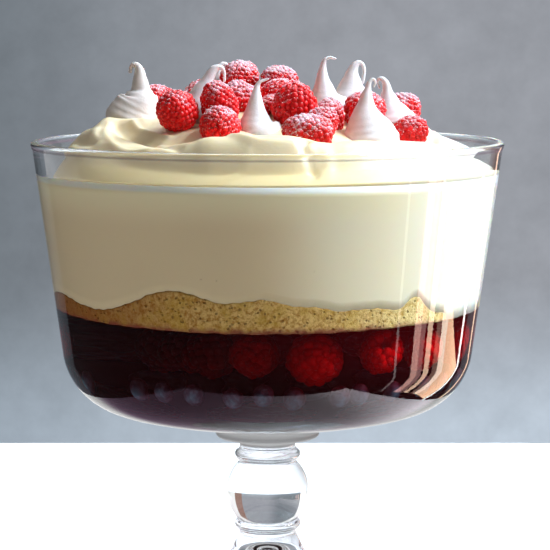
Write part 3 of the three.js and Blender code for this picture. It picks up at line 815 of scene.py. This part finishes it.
def sponge_layer(crumb):
    """The sponge, with an attribute that is 1 on its crust and 0 in its crumb."""
    steps = 14
    angle = bearings(SPONGE_SIDES)
    reach, top = sponge_edge(angle)
    floor = jelly_level(angle) - SPONGE["sink"]
    outline = [(0, JELLY_TOP), (0.6 * reach, floor), (0.97 * reach, floor)]
    crust = [[0], 0 * angle, 0 * angle]
    for step in range(steps + 1):
        height = floor + (top - floor) * step / steps
        outline.append((reach + (height - JELLY_TOP) * LEAN, height))
        crust.append(np.clip(1 - (top - floor) * (1 - step / steps) / SPONGE["crust"], 0, 1))
    for share in (0.985, 0.95, 0.85, 0.65, 0.4, 0.2):
        outline.append((share * reach, SPONGE_MIDDLE + (top - SPONGE_MIDDLE) * share ** 3))
        crust.append(1 + 0 * angle)
    mesh = turned_mesh([*outline, (0, SPONGE_MIDDLE)], SPONGE_SIDES)
    set_values(mesh, "crust", np.concatenate([*crust, [1]]))
    return shown("sponge_crumb", mesh, crumb)


def custard_layer(custard):
    """The custard, from over the sponge, or the jelly where that stops short, to its flat top."""
    steps = 12
    angle = bearings(CUSTARD_SIDES)
    reach, sponge_top = sponge_edge(angle)
    edge = inset_radius(JELLY_TOP, WALL - SUNK)
    outline = [(0, SPONGE_MIDDLE - LAP)]
    for share in (0.2, 0.45, 0.7, 0.85, 0.93, 0.97, 1):
        radius = edge * share
        over = np.minimum(1, radius / reach)
        height = SPONGE_MIDDLE + (sponge_top - SPONGE_MIDDLE) * over ** 3 - LAP
        height = np.where(radius > reach + 0.5, jelly_level(angle) - LAP, height)
        if share == 1:
            radius = radius + (height - JELLY_TOP) * LEAN
        outline.append((radius, height))
    for step in range(1, steps + 1):
        rise = height + (CUSTARD_TOP - height) * step / steps
        outline.append((inset_radius(0, WALL - SUNK) + rise * LEAN, rise))
    top = inset_radius(CUSTARD_TOP, WALL - SUNK)
    outline.append((top * 0.995, CUSTARD_TOP))
    outline += [(top * share, CUSTARD_TOP - DIP) for share in (0.97, 0.9, 0.6, 0.3, 0)]
    return shown("custard_layer", turned_mesh(outline, CUSTARD_SIDES), custard)


# ---- Whipped cream ----
def stroke_relief(x, y):
    """How far the spoon strokes raise the cream, and hollow it inside each crest."""
    relief = np.zeros_like(x)
    for middle_x, middle_y, radius, start, end, height, inner, outer in STROKES:
        dx, dy = x - middle_x, y - middle_y
        outside = np.hypot(dx, dy) - radius
        along = (np.degrees(np.arctan2(dy, dx)) - start) % 360 / (end - start)
        within = along < 1
        along = np.clip(along, 0, 1)
        rising = np.maximum(0, 1 + outside / inner) ** 1.8
        crest = np.where(outside > 0, bell(outside, outer), np.minimum(1, rising))
        hollow = 0.4 * bell(outside + inner, 0.6 * inner)
        relief += within * height * np.sin(math.pi * along) ** 0.6 * (crest - hollow)
    return relief


def nearest(x, y, line):
    """How far each point is from a line through these places."""
    best = np.full_like(x, 1e6)
    for (ax, ay), (bx, by) in zip(line, line[1:]):
        length = (bx - ax) ** 2 + (by - ay) ** 2
        share = np.clip(((x - ax) * (bx - ax) + (y - ay) * (by - ay)) / length, 0, 1)
        best = np.minimum(best, np.hypot(x - ax - share * (bx - ax), y - ay - share * (by - ay)))
    return best


def fold_relief(x, y):
    relief = np.zeros_like(x)
    for height, width, line in FOLDS:
        relief += height * bell(nearest(x, y, smooth_path(line, 24)), width)
    return relief


def lip_height(x, y, radius):
    """The lip's surface at the front, far below the mound elsewhere."""
    across, heights = zip(*LIP_LINE)
    off = radius - LIP["radius"]
    share = off / np.where(off < 0, LIP["inner"], LIP["outer"])
    height = np.interp(x, across, heights) - 6 * share ** 2 - 3 * share ** 4
    return height - np.maximum(0, y + 40) * 0.5


def cream_foot(bearing):
    """The cream's reach, which is greatest at the front right."""
    return CREAM["foot radius"] + CREAM["foot swell"] * np.sqrt((1 + np.cos(bearing + 0.7)) / 2)


def cream_height(x, y):
    """The cream's surface: a flat-topped mound with swells, strokes, lip and folds on it."""
    radius = np.hypot(x, y)
    bearing = np.arctan2(y, x)
    front = np.maximum(0, -np.sin(bearing)) ** 1.2
    share = np.minimum(1, radius / cream_foot(bearing))
    side_power = CREAM["edge power"] - CREAM["edge sway"] * np.cos(bearing)
    power = side_power + (CREAM["edge power"] - side_power) * front
    outward = np.minimum(1, share / 0.7) ** 3
    lift = CREAM["foot lift"] * np.maximum(0, np.cos(bearing)) ** 2
    height = CREAM["height"] - CREAM["front drop"] * front * outward
    height = height - CREAM["shoulder drop"] * outward - lift
    mound = height * (1 - share ** power)
    swell = [h * np.exp(-((x - a) ** 2 + (y - b) ** 2) / w ** 2) for a, b, w, h in SWELLS]
    relief = (swell[1] + stroke_relief(x, y)) * np.minimum(1, 6 * (1 - share))
    height = CREAM["base"] + CREAM["foot height"] + lift + mound + swell[0] + relief
    melt = LIP["melt"]
    height = melt * np.logaddexp(height / melt, lip_height(x, y, radius) / melt)
    return height + fold_relief(x, y) * np.minimum(1, 9 * (1 - share))


def cream_mound(cream):
    bearing = bearings(CREAM_SIDES)
    foot = cream_foot(bearing)
    base = CUSTARD_TOP - CREAM["sink"]
    outline = [(0, base), (0.5 * foot, base), (foot - 1, base), (foot, CUSTARD_TOP + 0.5)]
    for share in (1 - np.linspace(0.001, 1, 170) ** 1.25)[:-1]:
        x, y = share * foot * np.cos(bearing), share * foot * np.sin(bearing)
        outline.append((share * foot, cream_height(x, y)))
    outline.append((0, cream_height(np.zeros(1), np.zeros(1))[0]))
    return shown("whipped_cream_mound", turned_mesh(outline, CREAM_SIDES), cream)


# ---- Meringues ----
def smooth_path(knots, count):
    """Rows evenly along a centripetal Catmull-Rom curve; the first three columns are a place."""
    knots = np.asarray(knots, dtype=float)
    ends = np.vstack([2 * knots[0] - knots[1], knots, 2 * knots[-1] - knots[-2]])
    dense = []
    for i in range(len(knots) - 1):
        near = ends[i:i + 4]
        times = np.cumsum([0, *np.sqrt(np.linalg.norm(np.diff(near, axis=0), axis=1))])
        time = np.linspace(times[1], times[2], 40, endpoint=False)[:, None]

        def between(a, b, first, last):
            start, end = times[a], times[b]
            return (end - time) / (end - start) * first + (time - start) / (end - start) * last

        pairs = [between(k, k + 1, near[k], near[k + 1]) for k in range(3)]
        dense.extend(between(1, 2, between(0, 2, *pairs[:2]), between(1, 3, *pairs[1:])))
    dense = np.vstack([dense, knots[-1]])
    strides = np.linalg.norm(np.diff(dense[:, :3], axis=0), axis=1)
    length = np.concatenate([[0], np.cumsum(strides)])
    steps = np.linspace(0, length[-1], count)
    return np.stack([np.interp(steps, length, column) for column in dense.T], axis=1)


def meringue(number, back, knots, white):
    """A piped kiss: rings round its spine, with the faint steps and swirl that the nozzle leaves."""
    rings = 96
    path = smooth_path([(x, back, z, radius) for x, z, radius in knots], rings)
    spine, girth = path[:, :3], path[:, 3]
    along = np.gradient(spine, axis=0)
    along /= np.linalg.norm(along, axis=1)[:, None]
    across = np.array([0, 1, 0])
    side = np.cross(across, along)
    angle = bearings(KISS_SIDES)
    share = np.linspace(0, 1, rings)[:, None]
    phase = random.Random(number * 7 + 1).uniform(0, TURN)
    swirl = 0.014 * np.sin(3 * angle + 9 * share + phase)
    swirl = swirl + 0.006 * np.sin(11 * angle + 4 * share + phase)
    swirl = swirl + 0.012 * np.sin(70 * share + phase)
    size = girth[:, None] * (1 + swirl * (1 - share) ** 2)

    def ring(middle, size, side):
        return middle + np.outer(size * np.cos(angle), side) + np.outer(size * np.sin(angle), across)

    bodies = [ring(spine[i], size[i], side[i]) for i in range(rings)]
    for reach, size in ((0.45, 0.88), (0.8, 0.58)):
        bodies.append(ring(spine[-1] + along[-1] * girth[-1] * reach, girth[-1] * size, side[-1]))
    mesh = closed_mesh(bodies, spine[0], spine[-1] + along[-1] * girth[-1])
    return shown(f"meringue_kiss_{number:02d}", mesh, white)


# ---- Raspberries ----
def new_tree(name, sizes):
    """The graph of an empty geometry tree that is given a mesh and these sizes."""
    tree = bpy.data.node_groups.new(name, "GeometryNodeTree")
    for side in ("INPUT", "OUTPUT"):
        tree.interface.new_socket("Geometry", in_out=side, socket_type="NodeSocketGeometry")
    for key, value in sizes.items():
        kind = "NodeSocketInt" if isinstance(value, int) else "NodeSocketFloat"
        tree.interface.new_socket(key, in_out="INPUT", socket_type=kind).default_value = value
    return Graph(tree)


def grown(tree, mesh, sizes):
    """The plain mesh that a tree makes of a mesh with these sizes."""
    host = shown("grown", mesh)
    modifier = host.modifiers.new("Form", "NODES")
    modifier.node_group = tree
    for item in tree.interface.items_tree:
        if item.in_out == "INPUT" and item.name in sizes:
            modifier[item.identifier] = sizes[item.name]
    evaluated = host.evaluated_get(bpy.context.evaluated_depsgraph_get())
    result = bpy.data.meshes.new_from_object(evaluated)
    bpy.data.objects.remove(host)
    bpy.data.meshes.remove(mesh)
    for slot in reversed(range(len(result.materials))):
        if result.materials[slot] is None:
            result.materials.pop(index=slot)
    return result


def balls(graph, points, subdivisions, **values):
    """A small ball on each point."""
    size = {"Radius": 1, "Subdivisions": subdivisions}
    ball = graph.node("GeometryNodeMeshIcoSphere", "Mesh", size)
    values = {"Points": points, "Instance": ball, **values}
    return graph.node("GeometryNodeInstanceOnPoints", "Instances", values)


def raspberry_tree(flesh):
    """Round drupelets in a spiral over a berry's core, each with a tone of its own."""
    graph = new_tree("Raspberry", {
        "Drupelets": DRUPELETS, "Radius": 0.009, "Half Length": 0.01, "Taper": BERRY_TAPER,
        "Bead": 0.0018, "Unevenness": 0.0003, "Seed": 1,
    })
    count, seed = graph.given("Drupelets"), graph.given("Seed")
    index = graph.node("GeometryNodeInputIndex", "Index")
    rise = 1 - 2 * (0.035 + 0.965 * (index + 0.5) / count)
    round_share = (1 - rise * rise) ** 0.5
    angle = index * GOLDEN_ANGLE
    reach = graph.given("Radius") * round_share ** 0.85 * (1 + graph.given("Taper") * rise)
    x = reach * angle.maths("COSINE", angle)
    y = reach * angle.maths("SINE", angle)
    z = graph.given("Half Length") * rise * -1
    jitter = {"Min": (-1, -1, -1), "Max": (1, 1, 1), "Seed": seed}
    jitter = graph.node("FunctionNodeRandomValue", "Value", jitter, data_type="FLOAT_VECTOR")
    stray = {"Vector": jitter, "Scale": graph.given("Unevenness")}
    stray = graph.node("ShaderNodeVectorMath", "Vector", stray, operation="SCALE")
    place = graph.node("ShaderNodeVectorMath", "Vector", {0: graph.vector(x, y, z), 1: stray})
    points = graph.node("GeometryNodePoints", "Points", {"Count": count, "Position": place})
    aim = {"Vector": graph.vector(x, y, z * 0.8)}
    turn = graph.node("FunctionNodeAlignRotationToVector", "Rotation", aim, axis="Z")
    fade = 1 - 0.22 * (rise * -1).step(0.3, 1)
    width = graph.varied(0.86, 1.14, seed + 11) * graph.given("Bead") * fade
    size = graph.vector(width, width, width * 0.96)
    drupelets = balls(graph, points, 2, Rotation=turn, Scale=size)
    tone = {"Name": "tone", "Value": graph.varied(0, 1, seed + 23)}
    toned = graph.geometry("StoreNamedAttribute", drupelets, tone, domain="INSTANCE")
    real = graph.geometry("RealizeInstances", toned)
    both = graph.geometry("JoinGeometry", [real, graph.given("Geometry")])
    smooth = graph.geometry("SetShadeSmooth", both)
    painted = graph.geometry("SetMaterial", smooth, {"Material": flesh})
    graph.node("NodeGroupOutput", None, {"Geometry": painted})
    return graph.tree


def sugar_tree(sugar):
    """Grains of icing sugar on the faces that look up."""
    sizes = {"Grains": 1.1, "Grain Size": 0.0002, "Steepest": 0.2, "Seed": 1}
    graph = new_tree("Icing Sugar", sizes)
    berry, seed = graph.given("Geometry"), graph.given("Seed")
    normal = graph.along("Z", graph.node("GeometryNodeInputNormal", "Normal"))
    patches = graph.node("ShaderNodeTexNoise", 0, {"Scale": 240, "Detail": 2})
    density = (normal + (patches - 0.5) - graph.given("Steepest")).step(0, 0.7)
    density = {"Mesh": berry, "Density": density * graph.given("Grains") * 1e6, "Seed": seed}
    points = graph.node("GeometryNodeDistributePointsOnFaces", "Points", density)
    size = graph.varied(0.5, 1.4, seed + 5) * graph.given("Grain Size")
    real = graph.geometry("RealizeInstances", balls(graph, points, 1, Scale=size))
    white = graph.geometry("SetMaterial", real, {"Material": sugar})
    both = graph.geometry("JoinGeometry", [white, berry])
    graph.node("NodeGroupOutput", None, {"Geometry": both})
    return graph.tree


def berry_core(radius, half):
    """The body under the drupelets, with the hollow that the stalk leaves, about its middle."""
    inner = 0.8
    outline = [(0, 0.15 * half), (0.16 * radius, 0.05 * half), (0.24 * radius, -0.75 * half)]
    for polar in np.radians(np.linspace(24, 172, 14)):
        reach = radius * math.sin(polar) ** 0.85 * (1 + BERRY_TAPER * math.cos(polar))
        outline.append((inner * reach, -inner * 1.04 * half * math.cos(polar)))
    outline.append((0, 0.84 * half))
    mesh = turned_mesh(outline, BERRY_SIDES)
    set_values(mesh, "tone", np.full(len(mesh.vertices), 0.1))
    return mesh


def berry_mesh(tree, radius, half, seed, drupelets=DRUPELETS, showing=0.38):
    """A berry whose drupelets show by this share of their size over its core."""
    bead = 1.12 * math.sqrt(4 * radius * half / drupelets)
    sizes = {
        "Drupelets": drupelets, "Radius": (radius - 0.98 * bead) * MM,
        "Half Length": (half - 0.98 * bead) * MM, "Bead": bead * MM,
        "Unevenness": 0.13 * bead * MM, "Seed": seed,
    }
    return grown(tree, berry_core(radius - showing * bead, half - showing * bead), sizes)


def placed(lean, turn, middle):
    tilt = Matrix.Rotation(math.radians(lean), 4, "Y")
    heading = Matrix.Rotation(math.radians(turn), 4, "Z")
    return Matrix.Translation(Vector(middle) * MM) @ heading @ tilt


def coordinates(mesh):
    places = np.empty(len(mesh.vertices) * 3)
    mesh.vertices.foreach_get("co", places)
    return places.reshape(-1, 3)


def raspberry(number, spec, tree, dust):
    """A dusted berry, with more sugar on top and in the gaps between its drupelets."""
    x, y, z, radius, half, lean, turn = spec
    mesh = berry_mesh(tree, radius, half, number * 5)
    own = coordinates(mesh) / MM / (radius, radius, half)
    gap = np.clip((0.93 - np.linalg.norm(own, axis=1)) / 0.1, 0, 1)
    mesh.transform(placed(lean, turn, (x, y, z)))
    above = (coordinates(mesh)[:, 2] / MM - z) / radius
    amount = DUSTED.get(number, 0.15)
    set_values(mesh, "dusting", 0.45 * above + 0.45 * gap + amount - 0.1)
    mesh = grown(dust, mesh, {"Seed": number, "Steepest": 0.35 - amount})
    return shown(f"raspberry_fruit_{number:02d}", mesh)


# ---- Fruit in the jelly ----
def joined(name, meshes, surface):
    """One piece from several meshes, which are used up."""
    points, faces, tones = [], [], []
    start = 0
    for mesh in meshes:
        places = coordinates(mesh)
        points.append(places)
        faces.extend([tuple(start + i for i in face.vertices) for face in mesh.polygons])
        tone = np.full(len(places), 0.5)
        if "tone" in mesh.attributes:
            mesh.attributes["tone"].data.foreach_get("value", tone)
        tones.append(tone)
        start += len(places)
        bpy.data.meshes.remove(mesh)
    made = bpy.data.meshes.new(name)
    made.from_pydata(np.concatenate(points).tolist(), [], faces)
    made.shade_smooth()
    set_values(made, "tone", np.concatenate(tones))
    return shown(name, made, surface)


def sink(mesh, bearing, away, height, rng):
    """Moves a fruit to a bearing from the front and a distance from the axis, turned at random."""
    angle = math.radians(bearing - 90)
    middle = (away * math.cos(angle), away * math.sin(angle), height)
    mesh.transform(placed(rng.uniform(0, 180), rng.uniform(0, 360), middle))
    return mesh


def sunk_raspberries(tree, flesh):
    rng = random.Random(41)
    specs = list(SUNK_RASPBERRIES)
    bearing = 52
    while bearing < 286:
        specs.append((bearing, rng.uniform(136, 139), rng.uniform(10, 11.5), rng.uniform(1.5, 6)))
        bearing += rng.uniform(16, 20)
    meshes = []
    for number, (bearing, height, radius, distance) in enumerate(specs, 300):
        mesh = berry_mesh(tree, radius, radius * 1.04, number, drupelets=96, showing=0.09)
        away = inset_radius(height, WALL) - distance - radius
        meshes.append(sink(mesh, bearing, away, height, rng))
    return joined("raspberries_in_jelly", meshes, flesh)


def blueberry_mesh(radius):
    crown = 0.94 * radius
    outline = [(0, -radius)]
    for polar in np.radians(np.linspace(12, 160, 12)):
        outline.append((radius * math.sin(polar), -crown * math.cos(polar)))
    outline += [(0.36 * radius, crown + 0.06), (0.28 * radius, crown - 0.1), (0, crown - 0.9)]
    return turned_mesh(outline, BLUEBERRY_SIDES)


def blueberries(skin_blue):
    """Blueberries that lie against the glass in the rounded corner of the bowl."""
    rng = random.Random(17)
    fitted = list(BLUEBERRIES)
    bearing = 50
    while bearing < 300:
        fitted.append(bearing)
        bearing += rng.uniform(7, 12)
    centre_x, centre_y = corner_centre()
    meshes = []
    for bearing in fitted:
        radius = rng.uniform(4.5, 5.1)
        slope = math.radians(rng.uniform(-31, -25))
        corner = CORNER["radius"] - WALL - radius - 0.05
        away = centre_x + corner * math.cos(slope)
        height = centre_y + corner * math.sin(slope)
        meshes.append(sink(blueberry_mesh(radius), bearing, away, height, rng))
    return joined("blueberries_in_jelly", meshes, skin_blue)


# ---- Stage ----
def staged(name, points, faces, surface):
    """A plain mesh of the stage, from points in metres."""
    mesh = bpy.data.meshes.new(name)
    mesh.from_pydata(points, [], faces)
    made = shown(name, mesh, surface)
    return made


def slab(name, left, right, front, back, top, surface):
    """A box of the floor, 20 mm thick, between these edges."""
    corners = [(x, y, z) for z in (top - 0.02, top) for x, y in
               ((left, front), (right, front), (right, back), (left, back))]
    faces = [(3, 2, 1, 0), (4, 5, 6, 7), (0, 1, 5, 4), (1, 2, 6, 5), (2, 3, 7, 6), (3, 0, 4, 7)]
    return staged(name, corners, faces, surface)


def build_stage():
    """A pale board, more floor round it that the glass doesn't mirror, and a grey wall."""
    white = material("pale floor", paint_floor)
    left, right, front, back = BOARD
    slab("floor", left, right, front, back, 0, white)
    around = [
        ("floor_left", -3, left, -3, back), ("floor_right", right, 3, -3, back),
        ("floor_front", left, right, -3, front),
    ]
    for name, *edges in around:
        part = slab(name, *edges, -0.0002, white)
        part.visible_glossy = False
        part.visible_transmission = name != "floor_front"
    corners = [(-2, 2.3, -1.2), (2, 2.3, -1.2), (2, 2.3, 1.6), (-2, 2.3, 1.6)]
    staged("backdrop", corners, [(0, 1, 2, 3)], material("backdrop", paint_backdrop))


def panel(name, place, aim, width, height, radiance, colour=(1, 1, 1)):
    """A soft rectangular lamp of a set radiance that looks at a point."""
    lamp = bpy.data.lights.new(name, "AREA")
    lamp.shape = "RECTANGLE"
    lamp.size, lamp.size_y = width, height
    lamp.energy = radiance * math.pi * width * height
    lamp.color = colour
    made = added(name, lamp)
    made.location = place
    made.rotation_euler = (Vector(place) - Vector(aim)).to_track_quat("Z", "Y").to_euler()
    made.visible_camera = False
    return made


def strip(name, left, right, low, high, radiance, colour):
    """An upright strip lamp, 1 m away, that spans these angles in degrees seen from the bowl."""
    azimuth = math.radians((left + right) / 2)
    low, high = (0.13 + math.tan(math.radians(angle)) for angle in (low, high))
    place = (math.cos(azimuth), math.sin(azimuth), (low + high) / 2)
    width = math.radians(right - left)
    made = panel(name, place, (0, 0, place[2]), width, high - low, radiance, colour)
    made.visible_diffuse = False
    made.visible_transmission = False


def build_lights():
    panel("window", (1.24, -0.04, 1.3), (0, 0, 0.16), 1.1, 0.9, 21, (0.86, 1, 1.15))
    panel("overhead", (0.2, 0.55, 1.6), (0, 0, 0.2), 1.4, 1, 1.5)
    panel("front fill", (-0.5, -1.5, 0.7), (0, 0, 0.17), 1.4, 1, 0.22)
    for letter, streak in zip("abcdefghi", STREAKS):
        strip(f"streak {letter}", *streak)
    world = bpy.data.worlds.new("studio")
    bpy.context.scene.world = world
    graph = emptied(world)
    up = graph.along("Z", graph.node("ShaderNodeTexCoord", "Generated"))
    sky = graph.mixed(up.step(-0.05, 0.25), (0.02, 0.022, 0.025), (0.13, 0.135, 0.14))
    light = graph.blend(graph.ray("Transmission"), graph.light(sky), graph.light((1, 1, 1)))
    light = graph.blend(graph.ray("Camera"), light, graph.light((0.3, 0.34, 0.38)))
    graph.node("ShaderNodeOutputWorld", None, {"Surface": light})


def build_camera():
    lens = bpy.data.cameras.new("camera")
    lens.sensor_width = SENSOR_WIDTH
    lens.lens = SENSOR_WIDTH * 2250 / 550
    camera = added("camera", lens)
    camera.location = (0.0035, -1.051, 0.2834)
    camera.rotation_euler = (math.radians(90 - 6.59), 0, 0)
    bpy.context.scene.camera = camera


def set_rendering():
    scene = bpy.context.scene
    scene.view_settings.view_transform = "Standard"
    for name, setting in LIGHT_PATHS.items():
        setattr(scene.cycles, name, setting)


# ---- Assembly ----
def carried(made, slot, *nodes):
    """Lets a piece ride on the part, in place of the nodes that it stands for."""
    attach(made, "root")
    if nodes:
        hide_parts(*nodes)


build_camera()
build_lights()
build_stage()
set_rendering()

clear_glass = material("clear glass", paint_clear_glass)
wetted_glass = material("glass against the filling", paint_wetted_glass)
carried(glass_bowl(clear_glass, wetted_glass), "glass", "glass_bowl")
carried(jelly_layer(material("wine jelly", paint_jelly)), "jelly", "jelly")
carried(sponge_layer(material("sponge crumb", paint_sponge)), "sponge", "sponge")
carried(custard_layer(material("set custard", paint_custard)), "custard", "custard")
carried(cream_mound(material("whipped cream", paint_cream)), "cream", "whipped_cream")

meringue_white = material("meringue", paint_meringue)
for number, (back, knots) in enumerate(MERINGUES, 1):
    carried(meringue(number, back, knots, meringue_white), "meringue", f"meringue_{number:02d}")

fresh_berry = raspberry_tree(material("raspberry flesh", paint_raspberry))
icing_sugar = sugar_tree(material("icing sugar", paint_sugar))
for number, spec in enumerate(RASPBERRIES, 1):
    fruit = raspberry(number, spec, fresh_berry, icing_sugar)
    carried(fruit, "raspberry", f"raspberry_{number:02d}")

soaked_flesh = material("soaked raspberry", paint_sunk_raspberry)
carried(sunk_raspberries(raspberry_tree(soaked_flesh), soaked_flesh), "raspberry")
carried(blueberries(material("blueberry", paint_blueberry)), "jelly")
